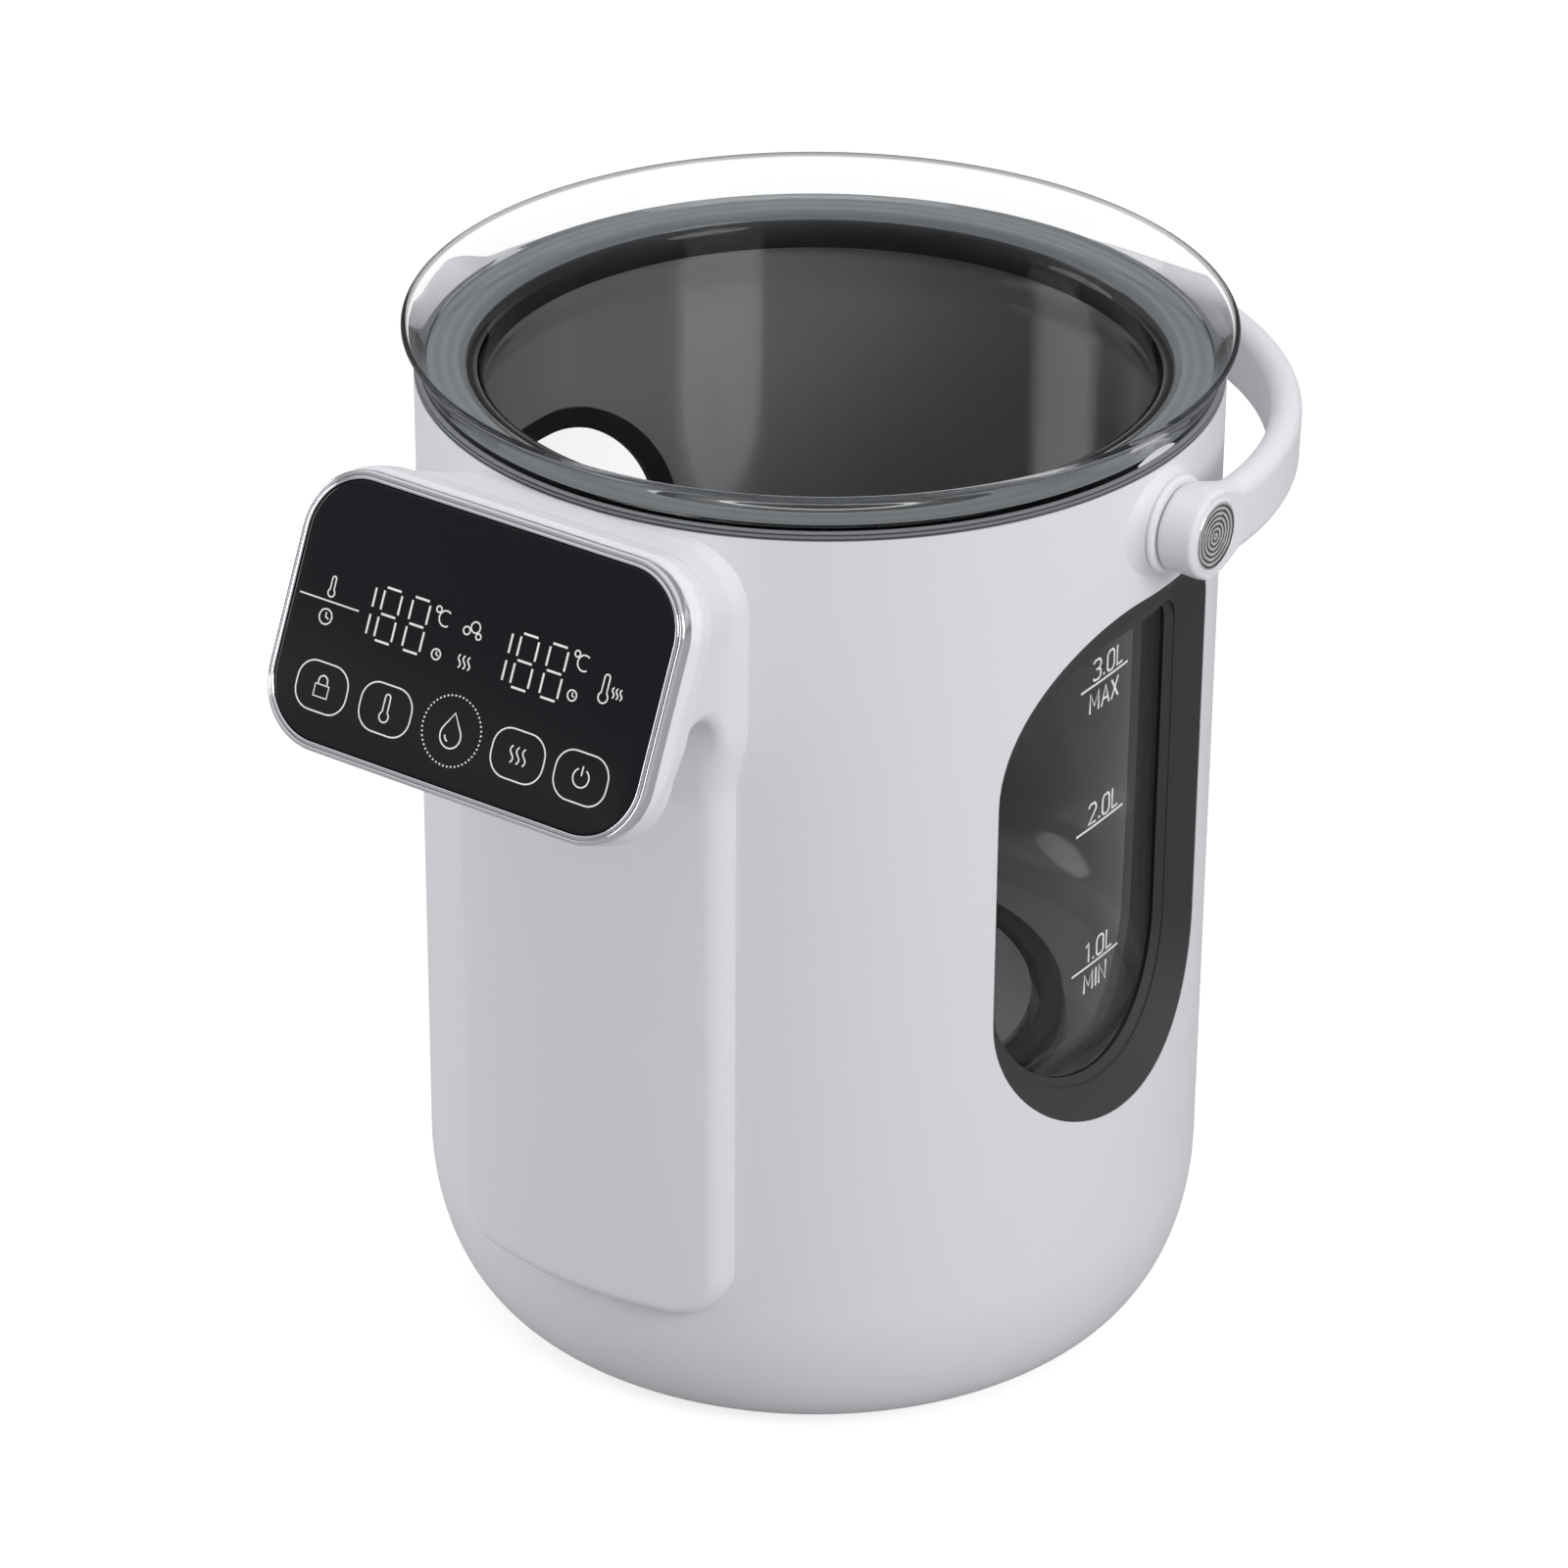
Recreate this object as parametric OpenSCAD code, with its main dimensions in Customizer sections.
// Electric thermo pot: glass jar in a white casing, touch control head, swing handle.
// Millimetres. Origin: centre of the pot on the table, +Z up, control head towards -Y.

/* [Casing] */
// Outside diameter of the casing
case_d = 204; // [200:1:210]
// Wall of the casing
case_wall = 3; // [2.4:0.1:3.6]
// Height of the casing's top edge
case_top = 262; // [258:1:270]
// Height of the rounded lower edge
round_h = 42; // [38:1:46]
// How far the rounded lower edge runs inwards
round_w = 20.5; // [18:0.5:22]
// Height of the seam between casing and base tray
seam_z = 15; // [13:1:18]
// Gap between the base tray and the table
foot_proud = 1.5; // [1:0.5:2.5]

/* [Base] */
// Thickness of the base tray's floor
tray_floor = 2.5; // [2:0.5:3.5]
// Height of the chassis ring's top face
chassis_top = 66; // [65:1:70]
// Thickness of the chassis ring
chassis_t = 5; // [4:0.5:6]
// Distance of the chassis legs inside the casing's outside
leg_in = 29; // [27:0.5:31]
// Diameter of a chassis leg
leg_d = 11; // [10:0.5:12]
// Distance of the rubber feet inside the casing's outside
foot_in = 38; // [36:1:44]
// Diameter of a rubber foot
foot_d = 16; // [12:1:18]
// Thread diameter of the screws
screw_d = 3.4; // [3:0.1:3.6]
// Head diameter of the screws
screw_head_d = 7; // [6:0.2:7.4]

/* [Windows] */
// Half width of a window
win_half = 40; // [38:0.1:42]
// Lowest point of a window
win_low = 83.6; // [82:0.2:86]
// Drop of a window's highest point below the casing's top edge
win_drop = 34; // [33:0.5:40]
// Radius of a window's upper corner on its wide side
win_wide = 44; // [40:1:48]
// Radius of a window's other upper corner
win_tight = 15; // [12:1:18]
// Turn of the right window to the front and of the left one to the rear, degrees
win_turn = 6.3; // [3:0.1:7]
// How much narrower the frame is at the glass than at the casing, on each side
frame_taper = 7.8; // [7:0.1:9]
// Rise of the frame's floor between casing and glass
frame_rise = 8.8; // [6:0.2:10]
// Fall of the frame's ceiling between casing and glass
frame_fall = 14; // [10:0.5:15]
// Width of the flat seal round a window, behind the frame
seal_w = 5.5; // [5:0.5:6]

/* [Liner and jar] */
// Air gap between casing and liner
liner_gap = 4; // [3.6:0.1:4.4]
// Wall of the liner
liner_wall = 2.5; // [2:0.1:3]
// Gap between liner and jar
jar_gap = 1; // [0.8:0.1:1.2]
// Wall of the glass jar
glass_t = 3; // [2.6:0.1:3.4]
// Outer radius of the jar's lower corner
jar_corner = 24; // [22:1:26]
// How much narrower the throat is than the jar
throat_in = 4.2; // [4:0.1:4.6]
// Overhang of the clear rim past the casing
rim_flare = 2.9; // [2.5:0.1:3.5]
// Height of the clear rim above the casing
rim_rise = 12.9; // [12:0.1:14]
// Width of the jar's flat foot around the hole in its bottom
jar_flat = 5.5; // [5:0.1:6]
// Litre step of the printed scale
litre_step = 40.5; // [40:0.1:41]
// Height of the first litre mark
litre_one = 122; // [120:0.5:124]

/* [Control head] */
// Width of the control panel over its trim
panel_w = 113; // [108:0.5:116]
// Length of the control panel over its trim
panel_l = 69.3; // [66:0.5:70]
// Corner radius of the control panel
panel_r = 17.8; // [15:0.2:19]
// Lean of the control panel from the vertical, degrees
panel_tilt = 24.5; // [23:0.5:26]
// Reach of the panel's centre in front of the casing
head_reach = 42.2; // [41:0.2:45]
// Drop of the panel's centre below the casing's top edge
panel_drop = 22.4; // [21:0.2:24]
// Depth of the head behind the panel's face
head_depth = 12; // [11:0.5:13]
// Width of the silver trim's face
trim_w = 2.4; // [2:0.1:3]
// Depth of the silver trim
trim_t = 3.5; // [3:0.1:4]
// Wall of the front housing
house_wall = 2.3; // [2:0.1:2.6]
// Half width of the column on the casing
column_half = 41; // [39:0.5:43]
// How far the column stands out from the casing
column_out = 6.5; // [6:0.1:7.5]
// Lower end of the column
column_low = 42; // [40:1:43]
// Drop of the column's upper end below the casing's top edge
column_drop = 5; // [4:0.5:8]
// Radius of the hollow under the head
arch_r = 27; // [25:0.5:28]
// Distance of the hollow's centre in front of the casing
arch_out = 26; // [25:0.5:28]
// Drop of the hollow's centre below the casing's top edge
arch_drop = 62; // [61:1:65]
// Distance of the nozzle in front of the casing
nozzle_out = 20; // [18:0.5:22]
// Length of the nozzle below the hollow's ceiling
nozzle_len = 14; // [11:0.5:16]
// Inside diameter of the nozzle
nozzle_bore = 6; // [5:0.5:7]

/* [Handle] */
// Drop of the handle's pivot below the casing's top edge
pivot_drop = 14.9; // [13:0.1:16]
// Gap between the casing and the handle
bail_gap = 7; // [6.5:0.1:9]
// Straight run between the pivots and the bend
bail_straight = 8; // [7:0.5:10]
// Thickness of the handle
bail_t = 8; // [7.6:0.1:8.4]
// Height of the handle's section
bail_h = 19; // [17:0.5:20]
// Droop of the resting handle below level, degrees
bail_droop = 2; // [1:0.5:3]
// Radius of the handle's hub
hub_r = 11; // [10.6:0.1:11.6]
// Radius of the pivot pin
pin_r = 3; // [2.6:0.1:3.2]
// Running clearance on the radius of the pivot
pivot_fit = 0.05; // [0.02:0.01:0.1]
// Radius of the bright cap on the pivot
cap_r = 7.8; // [7.4:0.1:8.2]

/* [Pump and heater] */
// Sideways place of the pump's axis
pump_x = -12; // [-13:0.5:-11]
// Radius of the pump's motor
motor_r = 14; // [12:0.5:15]
// Radius of the pump's body
volute_r = 19; // [18:0.5:20]
// Radius of the impeller
impeller_r = 14; // [12:0.5:15]
// Radius of the motor's shaft
shaft_r = 1.5; // [1.2:0.1:2]
// Outer radius of the water hoses
hose_r = 4; // [3.6:0.1:4.2]
// Wall of the water hoses
hose_wall = 1.2; // [1:0.1:1.4]
// Distance of the heating element's ring inside the spreader's edge
element_in = 11; // [9:0.5:12]
// Radius of the heating element's tube
element_r = 3.5; // [3:0.1:4]

/* [Hidden] */
$fn = 96;

// Fits and small allowances
slip = 0.15;
skin = 0.3;
over = 1;

// Casing and base
case_r = case_d / 2;
case_in = case_r - case_wall;
tray_top = foot_proud + tray_floor;
tray_wall = 2.8;
tongue_h = 4;
tongue_t = 1.8;
round_steps = 14;
seam_a = asin((round_h - seam_z) / (round_h - foot_proud));
leg_ring = case_r - leg_in;
foot_ring = case_r - foot_in;
leg_r = leg_d / 2;
foot_sunk = 1;
chassis_rim = 1;
chassis_band = 8;
cup_wall = 2;
cup_h = 12;
vent_count = 7;
vent_pitch = 8;
vent_half = 1.5;
vent_len = 22;
vent_y = 30;

// Screws
screw_r = screw_d / 2;
screw_head_t = 2.6;
screw_gap = 0.4;
screw_sink = 2;
screw_bite = 11;
seat_h = 3;
seat_z = tray_top + seat_h;
screw_seat = seat_z - screw_sink;
liner_screw_out = 6;
liner_screw_ring = leg_ring + liner_screw_out;
liner_bite = 2;
boss_wall = 2.6;

// Liner, jar and the rings at the throat
liner_out = case_in - liner_gap;
liner_in = liner_out - liner_wall;
liner_floor = 3;
floor_top = chassis_top + liner_floor;
jar_out = liner_in - jar_gap;
jar_in = jar_out - glass_t;
jar_hole = jar_out - jar_corner - jar_flat;
throat_r = jar_out - throat_in;
neck_r = throat_r - glass_t;
hole_lip = 2;
floor_hole = jar_hole - hole_lip;
clamp_t = 4;
clamp_w = 5;
flange_r = jar_hole + clamp_w;
flange_z = floor_top + clamp_t;
plate_t = 1.2;
seal_t = 3.8;
seal_lip = 4;
hat_gap = 4.5;
hat_r = jar_hole - hat_gap;
jar_low = flange_z + plate_t + seal_t;
jar_floor = jar_low + glass_t;
plate_top = jar_floor + over;
throat_len = 12;
liner_drop = 7;
liner_top = case_top - liner_drop;
seal_h = 5.3;
seal_top = liner_top + seal_h;
skirt_drop = 2;
deck_t = 2;
deck_top = case_top + deck_t;
deck_in = 1.6;
deck_edge = case_r - deck_in;
deck_gap = 0.1;
rim_r = case_r + rim_flare;
rim_top = case_top + rim_rise;
rim_edge = 1.25;
rim_neck_h = 6;
rim_floor = 6.5;
rim_lean = 1.4;
mark_t = 0.15;
mark_h = 1;
mark_count = 3;
mark_turn = 12;

// Windows
win_high = case_top - win_drop;
win_size = [win_half, win_low, win_high, win_wide, win_tight];
lip_half = win_half - frame_taper;
lip_size = [lip_half, win_low + frame_rise, win_high - frame_fall,
    win_wide - frame_taper, win_tight - frame_taper];
lip_t = 1.8;
frame_flange = 3;
frame_wall = 2;
frame_skin = 0.1;
frame_gap = 0.2;
mouth_inset = 0.5;
// Depth at which the funnel reaches its narrow end, on the window's centre line
win_inner = sqrt(pow(liner_in, 2) - pow(lip_half, 2));

// Control head
panel_y = case_r + head_reach;
panel_z = case_top - panel_drop;
column_r = case_r + column_out;
column_in = column_r - house_wall;
column_high = case_top - column_drop;
column_corner = 13;
arch_y = case_r + arch_out;
arch_z = case_top - arch_drop;
neck_drop = 6;
neck_low = arch_z - neck_drop;
neck_inset = 0.5;
duct_half = 18;
duct_in = 5;
duct_low = column_low + duct_in;
duct_high = column_high - duct_in - house_wall;
glass_gap = 0.1;
glass_sink = 0.2;
wall_gap = 0.05;

// Screws that hold the front housing, through the casing
house_screw_in = 11;
house_screw_up = 30;
house_screw_x = column_half - house_screw_in;
house_screw_low = column_low + house_screw_up;
house_screw_high = arch_z - house_screw_up / 2;
house_boss_r = 4;
house_bite = 3;
house_head_h = 1.6;
house_out = sqrt(pow(case_r, 2) - pow(house_screw_x, 2));
house_in = sqrt(pow(case_in, 2) - pow(house_screw_x + screw_r + boss_wall / 2, 2));

// Heater parts under the jar
spread_t = 2;
spread_gap = 2;
outlet_r = 5;
outlet_flange = 6.5;
outlet_gap = 0.3;
outlet_grip = 4;
pump_ring = hat_r - plate_t - outlet_flange - outlet_gap;
pump_y = sqrt(pow(pump_ring, 2) - pow(pump_x, 2));
spread_r = pump_ring - outlet_flange - spread_gap;
spread_low = plate_top - plate_t - spread_t;
element_ring = spread_r - element_in;
element_gap = 60;
end_turn = 7;
end_thin = 0.5;
end_len = 9;
sensor_r = 4;
sensor_h = 7;
cutout_r = 7;
cutout_h = 6;

// Pump and water hoses
hose_in = hose_r - hose_wall;
hose_drop = 24;
body_top = plate_top - hose_drop;
body_h = 14;
motor_top = body_top - body_h;
port_drop = 6;
port_z = body_top - port_drop;
cover_t = 3;
barb_len = 4.5;
barb_wall = 1;
pump_port = body_top + cover_t + barb_len;
outlet_low = plate_top - plate_t - outlet_grip;
clip_t = 0.8;
clip_w = 3;
clip_in = 1;
shaft_rise = 7;
shaft_low = tray_top + shaft_rise;
shaft_fit = 0.04;
pump_wall = 3;
vane_count = 6;
vane_t = 1.5;
vane_h = 5.5;
eye_r = 5;
riser_in = 1.5;
riser_y = case_r - riser_in;
bend = 10;
nozzle_y = case_r + nozzle_out;
nozzle_wall = 3.5;
nozzle_r = nozzle_bore / 2 + nozzle_wall;
nozzle_z = arch_z + arch_r - nozzle_len;
nozzle_seat = arch_z + arch_r + house_wall + slip;
nozzle_lip = 2;
nozzle_flange = 1.8;
nozzle_top = nozzle_seat + nozzle_flange;
riser_top = nozzle_top + barb_len + 2 * slip;

// Display board and its lead
board_deep = 3.6;
board_inset = 7;
board_corner = 4;
digits_x = 20;
digits_y = 2;
digits_w = 28;
digits_l = 13;
lead_x = 10;
lead_r = 1.5;
lead_start = 28;

// Power board and its four posts
board_z = 12;
board_in = 57;
board_x = case_r - board_in;
board_y = 4;
board_w = 66;
board_l = 54;
board_t = 1.6;
post_r = 3;
post_in = 5;
transformer = [24, 20, 18];
transformer_at = [-24, -20];
relay = [19, 15, 15];
relay_at = [6, -20];
terminals = [16, 12, 10];
terminals_at = [8, 4];
can_r = 5;
can_h = 18;
can_at = [[-16, 12], [-2, 12]];

// Handle
pivot_z = case_top - pivot_drop;
bail_r = case_r + bail_gap + bail_t / 2;
boss_r = 12.4;
boss_out = 4.4;
boss_x = case_r + boss_out;
boss_root = 4;
boss_flare = 1.4;
casing_gap = 0.02;
spigot_r = pin_r + 2.85;
hub_x = boss_x + skin;
hub_out = bail_r + bail_t / 2;
recess_deep = 2.3;
recess_x = hub_out - recess_deep;
bush_r = pin_r + 1.5;
pin_head_r = pin_r + 2.5;
pin_head_gap = 0.3;
cap_t = 1;
cap_proud = 0.4;
cap_x = hub_out + cap_proud - cap_t;

// Power inlet
inlet_z = round_h;
inlet_w = 27;
inlet_h = 20;
inlet_flange = 3;
inlet_proud = 0.4;
inlet_sunk = 2;
inlet_face = case_r + inlet_proud;
inlet_pad = inlet_face - inlet_sunk;
inlet_deep = 16;
inlet_wall = 1.8;
inlet_body = 18;
pad_t = 5;
pad_edge = 2;
blade_w = 2;
blade_h = 4;
blade_len = 11;
blade_places = [[-7, 2], [7, 2], [0, -2.5]];

// Radius of the rounded lower edge at an angle below its widest point
function edge_r(a) = case_r - round_w + round_w * cos(a);
function edge_z(a) = round_h - (round_h - foot_proud) * sin(a);
// Points of the lower edge between two angles, moved inwards
function edge_run(a0, a1, inset) =
    [for (i = [0:round_steps])
        let (a = a0 + (a1 - a0) * i / round_steps) [edge_r(a) - inset, edge_z(a)]];
function edge_angle(z) = asin((round_h - z) / (round_h - foot_proud));
// Points of an arc about a centre
function arc(c, r, a0, a1, n = 12) =
    [for (i = [0:n]) let (a = a0 + (a1 - a0) * i / n) c + r * [cos(a), sin(a)]];
// Points of a curve from p to q that leaves and arrives along the lines through m
function curve(p, m, q, n = 8) =
    [for (i = [0:n]) let (t = i / n) (1 - t) * (1 - t) * p + 2 * t * (1 - t) * m + t * t * q];
function half_smooth(p, q, n = 8) =
    [for (i = [0:n]) let (t = i / n, s = t * t * (3 - 2 * t))
        [p[0] + (q[0] - p[0]) * s, p[1] + (q[1] - p[1]) * t]];

// Ring between two radii and two heights
module ring(r_out, r_in, z0, z1) {
    rotate_extrude() translate([r_in, z0]) square([r_out - r_in, z1 - z0]);
}

// Rod along Z between two heights
module rod(r, z0, z1) {
    translate([0, 0, z0]) cylinder(r = r, h = z1 - z0);
}

// Rod along X between two places, at the height of the pivot
module pivot_rod(r, x0, x1) {
    translate([x0, 0, pivot_z]) rotate([0, 90, 0]) cylinder(r = r, h = x1 - x0);
}

// Rectangle with round corners, about its centre
module round_rect(w, h, r) {
    square([w - 2 * r, h], center = true);
    square([w, h - 2 * r], center = true);
    for (x = [-1, 1], y = [-1, 1])
        translate([x * (w / 2 - r), y * (h / 2 - r)]) circle(r);
}

// Upright slot with half-round ends, from its lowest to its highest point
module slot(half, low, high) {
    translate([0, low + half]) circle(half);
    translate([0, high - half]) circle(half);
    translate([-half, low + half]) square([2 * half, high - low - 2 * half]);
}

// Window outline, grown by a margin: half-round below, with a wide and a tight corner above.
// Its size lists half width, lowest and highest point, and the two corner radii.
module outline(size, margin = 0) {
    half = size[0] + margin;
    low = size[1] - margin;
    high = size[2] + margin;
    wide = size[3] + margin;
    tight = size[4] + margin;
    translate([0, low + half]) circle(half);
    translate([half - tight, high - tight]) circle(tight);
    intersection() {
        translate([wide - half, high - wide]) circle(wide);
        translate([-half, high - wide]) square(wide);
    }
    polygon([[-half, low + half], [half, low + half], [half, high - tight], [half - tight, high],
        [wide - half, high], [-half, high - wide]]);
}

// Places a window's solid facing +X on the right, or turned half round on the left
module at_window(side) {
    rotate([0, 0, (side > 0 ? 0 : 180) - win_turn]) rotate([90, 0, 90]) children();
}

// Both sides of the pot
module both_sides() {
    children();
    mirror([1, 0, 0]) children();
}

// Copies on a ring
module around(count, r, start = 0) {
    for (i = [0:count - 1])
        rotate([0, 0, start + 360 * i / count]) translate([r, 0, 0]) children();
}

// Local frame of the control panel: Z out of its face, Y up its slope
module on_panel() {
    translate([0, -panel_y, panel_z]) rotate([90 - panel_tilt, 0, 0]) children();
}

module outer_casing() {
    side = concat([[case_r, case_top]], edge_run(0, seam_a, 0));
    inside = concat(edge_run(seam_a, 0, case_wall), [[case_in, case_top]]);
    color("white") difference() {
        union() {
            rotate_extrude() polygon(concat(side, inside));
            inlet_seat();
        }
        for (side = [-1, 1]) at_window(side) translate([0, 0, case_r / 2]) linear_extrude(case_r)
            outline(win_size);
        duct_cut();
        translate([0, case_r / 2, 0]) inlet_block(slip, case_r);
        translate([0, inlet_pad, 0]) inlet_block(inlet_flange + slip, case_r / 2);
        both_sides() pivot_rod(spigot_r + slip, case_in - 5, case_r + 5);
        house_screw_holes(screw_r + screw_gap);
    }
}

// Flat pad inside the casing that the power inlet sits on
module inlet_seat() {
    intersection() {
        translate([0, inlet_pad - pad_t, 0]) inlet_block(inlet_flange + pad_edge, pad_t);
        rotate_extrude() polygon(concat([[case_r - skin, case_top]], edge_run(0, seam_a, skin),
            [[0, seam_z], [0, case_top]]));
    }
}

// Block around the power inlet's outline, grown by a margin
module inlet_block(margin, depth) {
    translate([-inlet_w / 2 - margin, 0, inlet_z - inlet_h / 2 - margin])
        cube([inlet_w + 2 * margin, depth, inlet_h + 2 * margin]);
}

// Opening behind the column for the riser tube and the display lead
module duct_cut() {
    translate([0, -case_r * 0.8, 0]) rotate([90, 0, 0]) linear_extrude(case_r / 2)
        slot(duct_half, duct_low, duct_high);
}

module base_tray() {
    low_a = edge_angle(tray_top);
    side = edge_run(seam_a, 90, 0);
    inside = edge_run(low_a, seam_a, tray_wall);
    tongue_a = edge_angle(seam_z + tongue_h);
    root_a = edge_angle(seam_z - 4);
    tongue = case_wall + slip;
    color("white") difference() {
        union() {
            rotate_extrude() polygon(concat(side, [[0, foot_proud], [0, tray_top]], inside));
            rotate_extrude() polygon(concat(edge_run(root_a, seam_a, 1),
                edge_run(seam_a, root_a, tongue + tongue_t)));
            rotate_extrude() polygon(concat(edge_run(seam_a, tongue_a, tongue),
                edge_run(tongue_a, seam_a, tongue + tongue_t)));
            around(4, leg_ring, 45) rod(leg_r, tray_top - over, seat_z);
            translate([pump_x, -pump_y, 0])
                ring(motor_r + slip + cup_wall, motor_r + slip, tray_top - over, tray_top + cup_h);
            board_places() rod(post_r, tray_top - over, board_z);
        }
        around(4, leg_ring, 45) {
            rod(screw_r + screw_gap, foot_proud - over, seat_z + over);
            rod(screw_head_d / 2 + screw_gap, foot_proud - over, screw_seat);
        }
        around(4, foot_ring, 0) rod(foot_d / 2 + slip, foot_proud - over, foot_proud + foot_sunk);
        for (i = [0:vent_count - 1])
            translate([(i - (vent_count - 1) / 2) * vent_pitch, vent_y, foot_proud - over])
                linear_extrude(tray_floor + 2 * over) slot(vent_half, 0, vent_len);
    }
}

// Ring on four legs that carries the liner and the jar
module chassis() {
    color("dimgray") difference() {
        union() {
            ring(liner_out - chassis_rim, leg_ring - chassis_band, chassis_top - chassis_t,
                chassis_top);
            around(4, leg_ring, 45) rod(leg_r, seat_z, chassis_top - over);
        }
        around(4, leg_ring, 45) rod(screw_r, seat_z - over, seat_z + screw_bite + over);
        around(4, liner_screw_ring, 0)
            rod(screw_r + screw_gap, chassis_top - chassis_t - over, chassis_top + over);
    }
}

module rubber_feet() {
    color("black") around(4, foot_ring, 0) rod(foot_d / 2, 0, foot_proud + foot_sunk);
}

module base_screws() {
    color("silver") around(4, leg_ring, 45) {
        rod(screw_head_d / 2, screw_seat - screw_head_t, screw_seat);
        rod(screw_r, screw_seat, seat_z + screw_bite);
    }
}

module chassis_screws() {
    low = chassis_top - chassis_t;
    color("silver") around(4, liner_screw_ring, 0) {
        rod(screw_head_d / 2, low - screw_head_t, low);
        rod(screw_r, low, floor_top + liner_bite);
    }
}

module inner_liner() {
    color("dimgray") difference() {
        union() {
            ring(liner_out, liner_in, chassis_top, liner_top);
            ring(liner_in + over, floor_hole, chassis_top, floor_top);
            around(4, liner_screw_ring, 0)
                rod(screw_r + boss_wall, floor_top - over, floor_top + liner_bite + over);
        }
        around(4, liner_screw_ring, 0) rod(screw_r, chassis_top - over, floor_top + liner_bite);
        for (side = [-1, 1]) at_window(side) translate([0, 0, liner_in / 2]) linear_extrude(case_r)
            outline(lip_size, lip_t + frame_gap);
    }
}

// Dark tunnel between the casing's window and the glass
module window_frame(side) {
    color([0.24, 0.24, 0.25]) difference() {
        union() {
            frame_layer(side, win_size, case_in - frame_wall, case_r - frame_gap, -frame_skin);
            frame_layer(side, win_size, liner_out + frame_gap, case_in - frame_gap, frame_flange);
            frame_layer(side, lip_size, liner_in + frame_gap, liner_out + 2 * frame_gap, lip_t);
        }
        at_window(side) hull() {
            translate([0, 0, case_r + over]) linear_extrude(0.1)
                outline(win_size, -mouth_inset);
            translate([0, 0, win_inner]) linear_extrude(0.1) outline(lip_size);
        }
        at_window(side) translate([0, 0, win_inner / 2]) linear_extrude(win_inner / 2 + over)
            outline(lip_size);
    }
}

// Layer of the frame between two radii, in a window outline grown by a margin
module frame_layer(side, size, r0, r1, margin) {
    low = size[1] - margin;
    high = size[2] + margin;
    intersection() {
        difference() {
            rod(r1, low - over, high + over);
            rod(r0, low - 2 * over, high + 2 * over);
        }
        at_window(side) translate([0, 0, case_r / 2]) linear_extrude(case_r)
            outline(size, margin);
    }
}

// Flat rubber rings that close the gap between liner and glass round both windows
module window_seals() {
    color([0.1, 0.1, 0.1]) intersection() {
        ring(liner_in, jar_out, lip_size[1] - 2 * seal_w, lip_size[2] + 2 * seal_w);
        for (side = [-1, 1]) at_window(side) translate([0, 0, liner_in / 2])
            linear_extrude(case_r) difference() {
                outline(lip_size, seal_w + frame_gap);
                outline(lip_size, frame_gap);
            }
    }
}

module glass_jar() {
    corner_x = jar_out - jar_corner;
    shoulder = liner_top - throat_len;
    under = deck_top + deck_gap;
    upper = under + glass_t;
    outside = concat(
        [[jar_hole, jar_low]],
        arc([corner_x, jar_low + jar_corner], jar_corner, -90, 0),
        half_smooth([jar_out, shoulder], [throat_r, liner_top]),
        arc([throat_r + glass_t, under - glass_t], glass_t, 180, 90, 4),
        curve([deck_edge, under], [case_r - frame_gap, under + rim_neck_h], [rim_r, rim_top - rim_edge]));
    inside = concat(
        arc([rim_r - rim_edge, rim_top - rim_edge], rim_edge, 10, 150, 6),
        curve([case_r - rim_lean, rim_top - glass_t - over], [case_r - glass_t - over, upper + glass_t],
            [case_r - rim_floor, upper]),
        arc([neck_r + rim_floor, upper - rim_floor], rim_floor, 90, 180, 8),
        half_smooth([neck_r, liner_top], [jar_in, shoulder]),
        arc([corner_x, jar_low + jar_corner], jar_corner - glass_t, 0, -90),
        [[jar_hole, jar_floor]]);
    color([0.8, 0.85, 0.88, 0.4]) rotate_extrude() polygon(concat(outside, inside));
}

// Printed scale lines on the outside of the jar, seen through the right window
module level_marks() {
    color("white") for (i = [0:mark_count - 1])
        translate([0, 0, litre_one + i * litre_step - mark_h / 2])
            rotate([0, 0, -mark_turn + 2]) rotate_extrude(angle = mark_turn)
                translate([jar_out, 0]) square([mark_t, mark_h]);
}

// Grey ring between casing and glass, with a flange that caps the casing's edge
module deck_ring() {
    inner = throat_r + skin;
    outer = case_in - slip;
    skirt = liner_out + slip;
    relief = glass_t + frame_gap;
    color([0.36, 0.39, 0.42]) rotate_extrude() polygon([
        [inner, seal_top], [skirt, seal_top], [skirt, liner_top - skirt_drop],
        [outer, liner_top - skirt_drop],
        [outer, case_top], [deck_edge, case_top], [deck_edge, deck_top],
        [inner + relief, deck_top], [inner, deck_top - relief]]);
}

module throat_seal() {
    color([0.14, 0.14, 0.15]) ring(liner_out, throat_r + slip, liner_top, seal_top);
}

module rim_gasket() {
    color([0.1, 0.1, 0.1]) ring(case_r - frame_gap, deck_edge + deck_gap, case_top, deck_top);
}

module jar_seal() {
    color([0.1, 0.1, 0.1]) {
        ring(jar_hole, hat_r, flange_z + plate_t, jar_floor + over / 2);
        ring(jar_hole + seal_lip, jar_hole - over, flange_z + plate_t, jar_low);
        ring(jar_hole + seal_lip - over, hat_r, jar_floor, jar_floor + over * 0.8);
    }
}

module clamp_ring() {
    color("silver") ring(flange_r, floor_hole + over, floor_top, flange_z);
}

module heater_plate() {
    color("silver") difference() {
        union() {
            ring(flange_r, hat_r - plate_t, flange_z, flange_z + plate_t);
            ring(hat_r, hat_r - plate_t, flange_z, plate_top);
            rod(hat_r, plate_top - plate_t, plate_top);
        }
        translate([pump_x, -pump_y, 0]) rod(outlet_r + slip, plate_top - plate_t - over, plate_top + over);
    }
}

module heat_spreader() {
    color("silver") rod(spread_r, spread_low, plate_top - plate_t);
}

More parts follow.
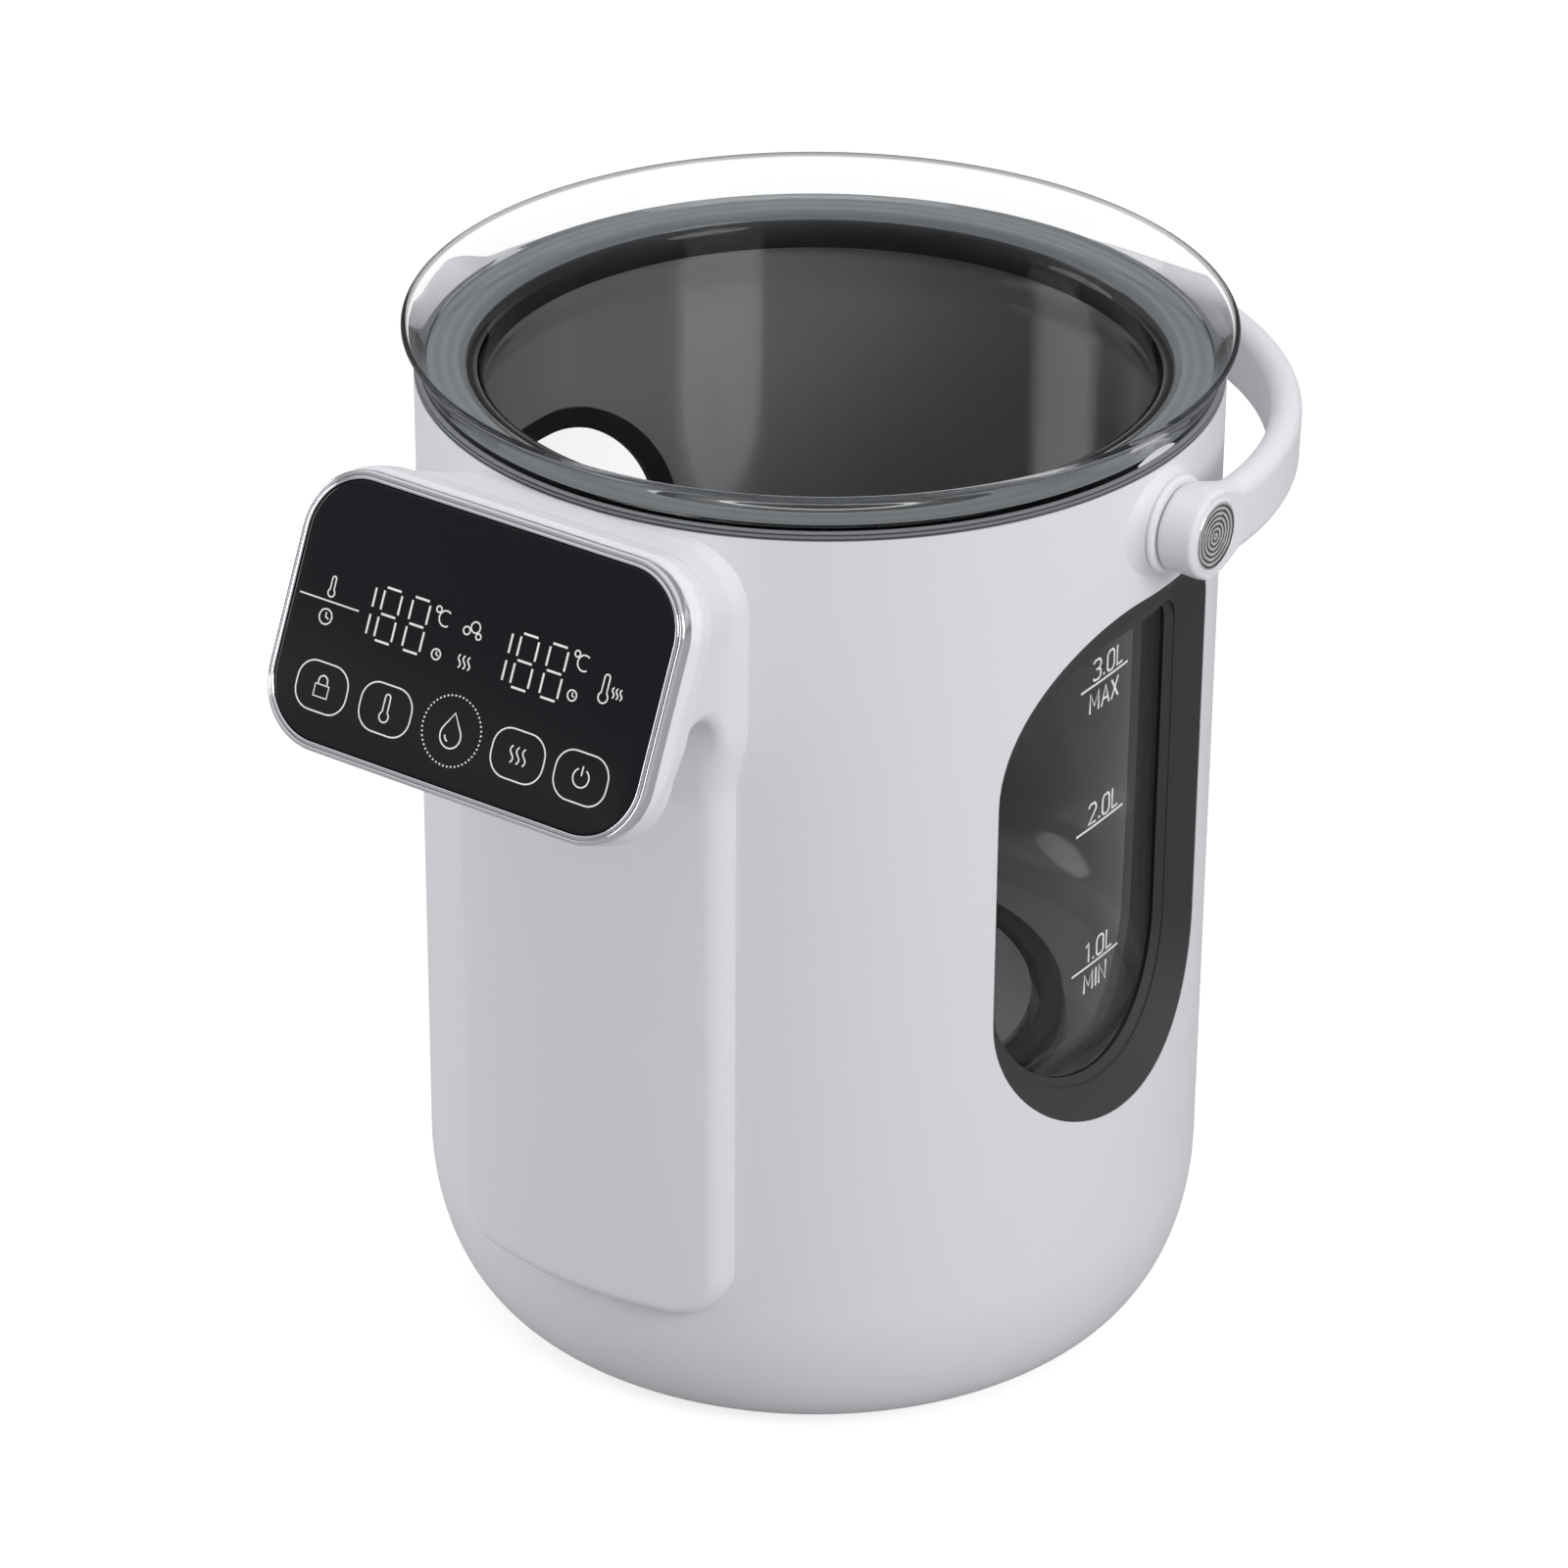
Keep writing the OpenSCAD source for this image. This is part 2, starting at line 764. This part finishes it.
// Ring-shaped tube under the spreader, open to the rear, with its two ends turned down
module heating_element() {
    z = spread_low - element_r;
    color("gray") {
        rotate([0, 0, -element_gap]) rotate_extrude(angle = 180 + 2 * element_gap)
            translate([element_ring, z]) circle(element_r);
        for (a = [end_turn - element_gap, 180 + element_gap - end_turn]) rotate([0, 0, a])
            translate([element_ring, 0, 0]) rod(element_r - end_thin, z - end_len, z - over);
    }
}

module temperature_sensor() {
    color("silver") translate([0, element_ring / 2, 0]) {
        rod(sensor_r, spread_low - sensor_h, spread_low);
        rod(sensor_r / 3, spread_low - 2 * sensor_h, spread_low - sensor_h + over);
    }
}

module thermal_cutouts() {
    color("saddlebrown") for (a = [210, 330]) rotate([0, 0, a])
        translate([element_ring / 2, 0, 0]) rod(cutout_r, spread_low - cutout_h, spread_low);
}

module outlet_fitting() {
    color("silver") translate([pump_x, -pump_y, 0]) difference() {
        union() {
            rod(outlet_r, outlet_low, plate_top + over);
            rod(outlet_flange, plate_top, plate_top + over);
            rod(outlet_flange, outlet_low, plate_top - plate_t);
            rod(hose_in, outlet_low - barb_len, outlet_low + over);
        }
        rod(hose_in - barb_wall, outlet_low - barb_len - over, plate_top + 2 * over);
    }
}

module suction_hose() {
    color("white") translate([pump_x, -pump_y, 0])
        ring(hose_r, hose_in, body_top + cover_t, outlet_low);
}

// Spring clips on the four hose ends
module hose_clips() {
    color("silver") {
        translate([pump_x, -pump_y, 0]) {
            hose_clip(body_top + cover_t + clip_in);
            hose_clip(outlet_low - clip_in - clip_w);
        }
        translate([0, -pump_y - volute_r, port_z]) rotate([90, 0, 0]) hose_clip(clip_in);
        translate([0, -nozzle_y, 0]) hose_clip(nozzle_top + clip_in);
    }
}

module hose_clip(z) {
    ring(hose_r + clip_t, hose_r, z, z + clip_w);
}

module pump_motor() {
    color("silver") translate([pump_x, -pump_y, 0]) difference() {
        rod(motor_r, tray_top, motor_top);
        rod(shaft_r + shaft_fit, shaft_low - over, motor_top + over);
    }
}

module pump_body() {
    color([0.9, 0.9, 0.9]) difference() {
        union() {
            translate([pump_x, -pump_y, 0]) rod(volute_r, motor_top, body_top);
            pump_spout() rod(hose_r, 0, volute_r);
            pump_spout() rod(hose_in, 0, volute_r + barb_len);
        }
        translate([pump_x, -pump_y, 0]) {
            rod(volute_r - pump_wall, motor_top + pump_wall, body_top + over);
            rod(shaft_r + shaft_fit, motor_top - over, body_top);
        }
        pump_spout() rod(hose_in - barb_wall, 0, volute_r + barb_len + over);
    }
}

// Places the pump's outlet, which points to the front
module pump_spout() {
    translate([0, -pump_y, port_z]) rotate([90, 0, 0]) children();
}

module pump_cover() {
    color([0.9, 0.9, 0.9]) translate([pump_x, -pump_y, 0]) difference() {
        union() {
            rod(volute_r, body_top, body_top + cover_t);
            rod(hose_in, body_top + cover_t - over, pump_port);
        }
        rod(hose_in - barb_wall, body_top - over, pump_port + over);
    }
}

// Impeller on the motor's shaft
module pump_rotor() {
    disc = motor_top + pump_wall + over;
    color("steelblue") translate([pump_x, -pump_y, 0]) {
        rod(shaft_r, shaft_low, disc + vane_t);
        rod(impeller_r, disc, disc + vane_t);
        around(vane_count, eye_r - over) translate([0, -vane_t / 2, disc + over])
            cube([impeller_r - eye_r, vane_t, vane_h]);
        ring(eye_r, eye_r - vane_t, disc + over, disc + over + vane_h);
    }
}

// Run of a hose up the column and over to the nozzle
module riser_run(r, extra = 0) {
    start = pump_y + volute_r;
    y_bend = riser_y - bend;
    end_z = nozzle_top;
    translate([0, -start + extra, port_z]) rotate([90, 0, 0]) cylinder(r = r, h = y_bend - start + extra);
    translate([0, -y_bend, port_z + bend]) rotate([0, 90, 0]) rotate([0, 0, -90])
        rotate_extrude(angle = 90) translate([bend, 0]) circle(r);
    translate([0, -riser_y, 0]) rod(r, port_z + bend, riser_top);
    translate([0, -riser_y - bend, riser_top]) rotate([0, 90, 0]) rotate([0, 0, 90])
        rotate_extrude(angle = 90) translate([bend, 0]) circle(r);
    translate([0, -riser_y - bend, riser_top + bend]) rotate([90, 0, 0])
        cylinder(r = r, h = nozzle_y - riser_y - 2 * bend);
    translate([0, -nozzle_y + bend, riser_top]) rotate([0, 90, 0]) rotate([0, 0, 180])
        rotate_extrude(angle = 90) translate([bend, 0]) circle(r);
    translate([0, -nozzle_y, 0]) rod(r, end_z - extra, riser_top);
}

module riser_tube() {
    color("white") difference() {
        riser_run(hose_r);
        riser_run(hose_in, over);
    }
}

// One moulding: column on the casing, neck and the shell behind the panel
module front_housing() {
    color("white") difference() {
        union() {
            column_body(column_r, 0);
            difference() {
                neck_body(0);
                arch_cut(0);
            }
            on_panel() translate([0, 0, -head_depth]) linear_extrude(head_depth - trim_t)
                round_rect(panel_w, panel_l, panel_r);
        }
        difference() {
            union() {
                column_body(column_in, house_wall);
                difference() {
                    neck_body(house_wall);
                    arch_cut(house_wall);
                }
                on_panel() translate([0, 0, -head_depth + house_wall]) linear_extrude(head_depth)
                    round_rect(panel_w - 2 * house_wall, panel_l - 2 * house_wall,
                        panel_r - house_wall);
            }
            house_screw_bosses();
        }
        rod(case_r + wall_gap, 0, case_top + panel_l);
        translate([0, -nozzle_y, 0]) rod(nozzle_r + slip, nozzle_z, nozzle_seat + over);
        house_screw_holes(screw_r);
    }
}

module column_body(r, inset) {
    intersection() {
        rod(r, 0, case_top);
        translate([0, -case_r / 2, (column_low + column_high) / 2]) rotate([90, 0, 0])
            linear_extrude(case_r)
                round_rect(2 * (column_half - inset), column_high - column_low - 2 * inset,
                    column_corner - inset);
    }
}

// Tapered neck from inside the head's shell to inside the casing
module neck_body(inset) {
    margin = inset + neck_inset;
    hull() {
        on_panel() translate([0, 0, -head_depth + margin]) linear_extrude(0.1)
            round_rect(panel_w - 2 * margin, panel_l - 2 * margin, panel_r - margin, $fn = 32);
        translate([0, -case_r * 0.9, (neck_low + column_high) / 2]) rotate([90, 0, 0])
            linear_extrude(1)
                round_rect(2 * (column_half - margin), column_high - neck_low - 2 * margin,
                    column_corner - margin, $fn = 32);
    }
}

// Hollow under the head, where the nozzle comes out
module arch_cut(grow) {
    translate([-case_r, -arch_y, arch_z]) rotate([0, 90, 0]) cylinder(r = arch_r + grow, h = case_d);
    translate([-case_r, -arch_y - arch_r - grow, arch_z - case_d])
        cube([case_d, 2 * (arch_r + grow), case_d]);
}

module house_screw_places() {
    for (x = [-house_screw_x, house_screw_x], z = [house_screw_low, house_screw_high])
        translate([x, 0, z]) rotate([90, 0, 0]) children();
}

module house_screw_bosses() {
    house_screw_places() rod(house_boss_r, case_r * 0.9, column_r + over);
}

module house_screw_holes(r) {
    house_screw_places() rod(r, case_r * 0.8, house_out + house_bite);
}

module housing_screws() {
    color("silver") house_screw_places() {
        rod(screw_r + boss_wall / 2, house_in - skin - house_head_h, house_in - skin);
        rod(screw_r, house_in - over, house_out + house_bite - slip);
    }
}

module trim_ring() {
    color("silver") on_panel() translate([0, 0, -trim_t]) linear_extrude(trim_t) difference() {
        round_rect(panel_w, panel_l, panel_r);
        round_rect(panel_w - 2 * trim_w, panel_l - 2 * trim_w, panel_r - trim_w);
    }
}

module touch_glass() {
    inset = trim_w + glass_gap;
    color([0.07, 0.08, 0.09]) on_panel() translate([0, 0, skin - trim_t])
        linear_extrude(trim_t - skin - glass_sink)
            round_rect(panel_w - 2 * inset, panel_l - 2 * inset, panel_r - inset);
}

module display_board() {
    color("darkgreen") on_panel() translate([0, 0, -trim_t - board_deep]) linear_extrude(board_t)
        round_rect(panel_w - 2 * board_inset, panel_l - 2 * board_inset, board_corner);
}

module display_modules() {
    color([0.15, 0.15, 0.15]) on_panel() for (x = [-digits_x, digits_x])
        translate([x - digits_w / 2, digits_y, board_t - trim_t - board_deep])
            cube([digits_w, digits_l, board_deep - board_t]);
}

// Lead from the power board up the column to the display
module display_lead() {
    low = port_z + hose_r;
    high = panel_z + lead_r;
    end_y = panel_y - (trim_t + board_deep) / cos(panel_tilt) - (high - panel_z) * tan(panel_tilt)
        - 2 * skin;
    color("dimgray") translate([lead_x, 0, 0]) {
        translate([0, -riser_y, 0]) rod(lead_r, low, high);
        for (z = [low, high]) translate([0, -riser_y, z]) sphere(lead_r);
        translate([0, -riser_y, high]) rotate([90, 0, 0]) cylinder(r = lead_r, h = end_y - riser_y);
        translate([0, -lead_start, low]) rotate([90, 0, 0])
            cylinder(r = lead_r, h = riser_y - lead_start);
    }
}

module spout_nozzle() {
    color("white") translate([0, -nozzle_y, 0]) difference() {
        union() {
            rod(nozzle_r, nozzle_z, nozzle_seat + over);
            rod(nozzle_r + nozzle_lip, nozzle_seat, nozzle_top);
            rod(hose_in, nozzle_top - over, nozzle_top + barb_len);
        }
        rod(nozzle_bore / 2, nozzle_z - over, nozzle_seat);
        rod(hose_in - barb_wall, nozzle_z, nozzle_top + barb_len + over);
    }
}

// Four posts of the base tray under the power board
module board_places() {
    for (x = [-1, 1], y = [-1, 1])
        translate([board_x + x * (board_w / 2 - post_in), board_y + y * (board_l / 2 - post_in), 0])
            children();
}

module power_board() {
    color("darkgreen") translate([board_x - board_w / 2, board_y - board_l / 2, board_z])
        cube([board_w, board_l, board_t]);
}

// Transformer, relay, terminals and two capacitors
module board_parts() {
    color([0.2, 0.25, 0.5]) translate([board_x, board_y, board_z + board_t]) {
        translate(transformer_at) cube(transformer);
        translate(relay_at) cube(relay);
        translate(terminals_at) cube(terminals);
        for (p = can_at) translate(p) rod(can_r, 0, can_h);
    }
}

module inlet_socket() {
    low = inlet_z - inlet_h / 2;
    color([0.12, 0.12, 0.12]) difference() {
        union() {
            translate([-inlet_w / 2, inlet_pad - inlet_body, low])
                cube([inlet_w, inlet_body + over, inlet_h]);
            translate([0, inlet_pad, 0]) inlet_block(inlet_flange, inlet_face - inlet_pad);
        }
        translate([-inlet_w / 2 + inlet_wall, inlet_face - inlet_deep, low + inlet_wall])
            cube([inlet_w - 2 * inlet_wall, inlet_body + over, inlet_h - 2 * inlet_wall]);
    }
}

module inlet_pins() {
    color("gold") for (p = blade_places)
        translate([p[0] - blade_w / 2, inlet_face - inlet_deep, inlet_z + p[1] - blade_h / 2])
            cube([blade_w, blade_len, blade_h]);
}

// Fixed boss that carries a pivot pin on the casing
module handle_boss(side) {
    color("white") mirror([side > 0 ? 0 : 1, 0, 0]) difference() {
        union() {
            translate([case_r - boss_root, 0, pivot_z]) rotate([0, 90, 0])
                cylinder(r1 = boss_r + boss_flare, r2 = boss_r, h = boss_x - case_r + boss_root);
            pivot_rod(spigot_r, case_in, case_r);
        }
        difference() {
            rod(case_r + casing_gap, pivot_z - 2 * boss_r, pivot_z + 2 * boss_r);
            pivot_rod(spigot_r, case_in, case_r + boss_root);
        }
        pivot_rod(pin_r, case_in - over, boss_x + over);
    }
}

module pivot_pins() {
    color("silver") both_sides() {
        pivot_rod(pin_r, case_in, recess_x + pin_head_gap);
        pivot_rod(pin_head_r, recess_x + pin_head_gap, cap_x - pin_head_gap);
    }
}

module pivot_bushes() {
    color("ivory") both_sides() difference() {
        pivot_rod(bush_r, hub_x, recess_x);
        pivot_rod(pin_r + pivot_fit, hub_x - over, recess_x + over);
    }
}

module pivot_caps() {
    color("silver") both_sides() pivot_rod(cap_r, cap_x, cap_x + cap_t);
}

// Bail with its two hubs, folded back
module handle() {
    color("white") difference() {
        union() {
            translate([0, 0, pivot_z]) rotate([-bail_droop, 0, 0]) {
                translate([0, bail_straight, 0]) rotate_extrude(angle = 180)
                    translate([bail_r, 0]) bail_section();
                both_sides() translate([bail_r, bail_straight, 0]) rotate([90, 0, 0])
                    linear_extrude(bail_straight) bail_section();
            }
            both_sides() pivot_rod(hub_r, hub_x, hub_out);
        }
        both_sides() {
            pivot_rod(bush_r, hub_x - over, recess_x + over);
            pivot_rod(cap_r, recess_x, hub_out + over);
        }
    }
}

// Flat oval section of the bail
module bail_section() {
    r = bail_t / 2;
    translate([0, bail_h / 2 - r]) circle(r);
    translate([0, r - bail_h / 2]) circle(r);
    square([bail_t, bail_h - 2 * r], center = true);
}

outer_casing();
base_tray();
chassis();
rubber_feet();
base_screws();
chassis_screws();
inner_liner();
window_frame(1);  // window_frame_right
window_frame(-1);  // window_frame_left
window_seals();
glass_jar();
level_marks();
deck_ring();
throat_seal();
rim_gasket();
jar_seal();
clamp_ring();
heater_plate();
heat_spreader();
heating_element();
temperature_sensor();
thermal_cutouts();
outlet_fitting();
suction_hose();
hose_clips();
pump_motor();
pump_body();
pump_cover();
pump_rotor();
riser_tube();
front_housing();
housing_screws();
trim_ring();
touch_glass();
display_board();
display_modules();
display_lead();
spout_nozzle();
power_board();
board_parts();
inlet_socket();
inlet_pins();
handle_boss(1);  // handle_boss_right
handle_boss(-1);  // handle_boss_left
pivot_pins();
pivot_bushes();
pivot_caps();
handle();
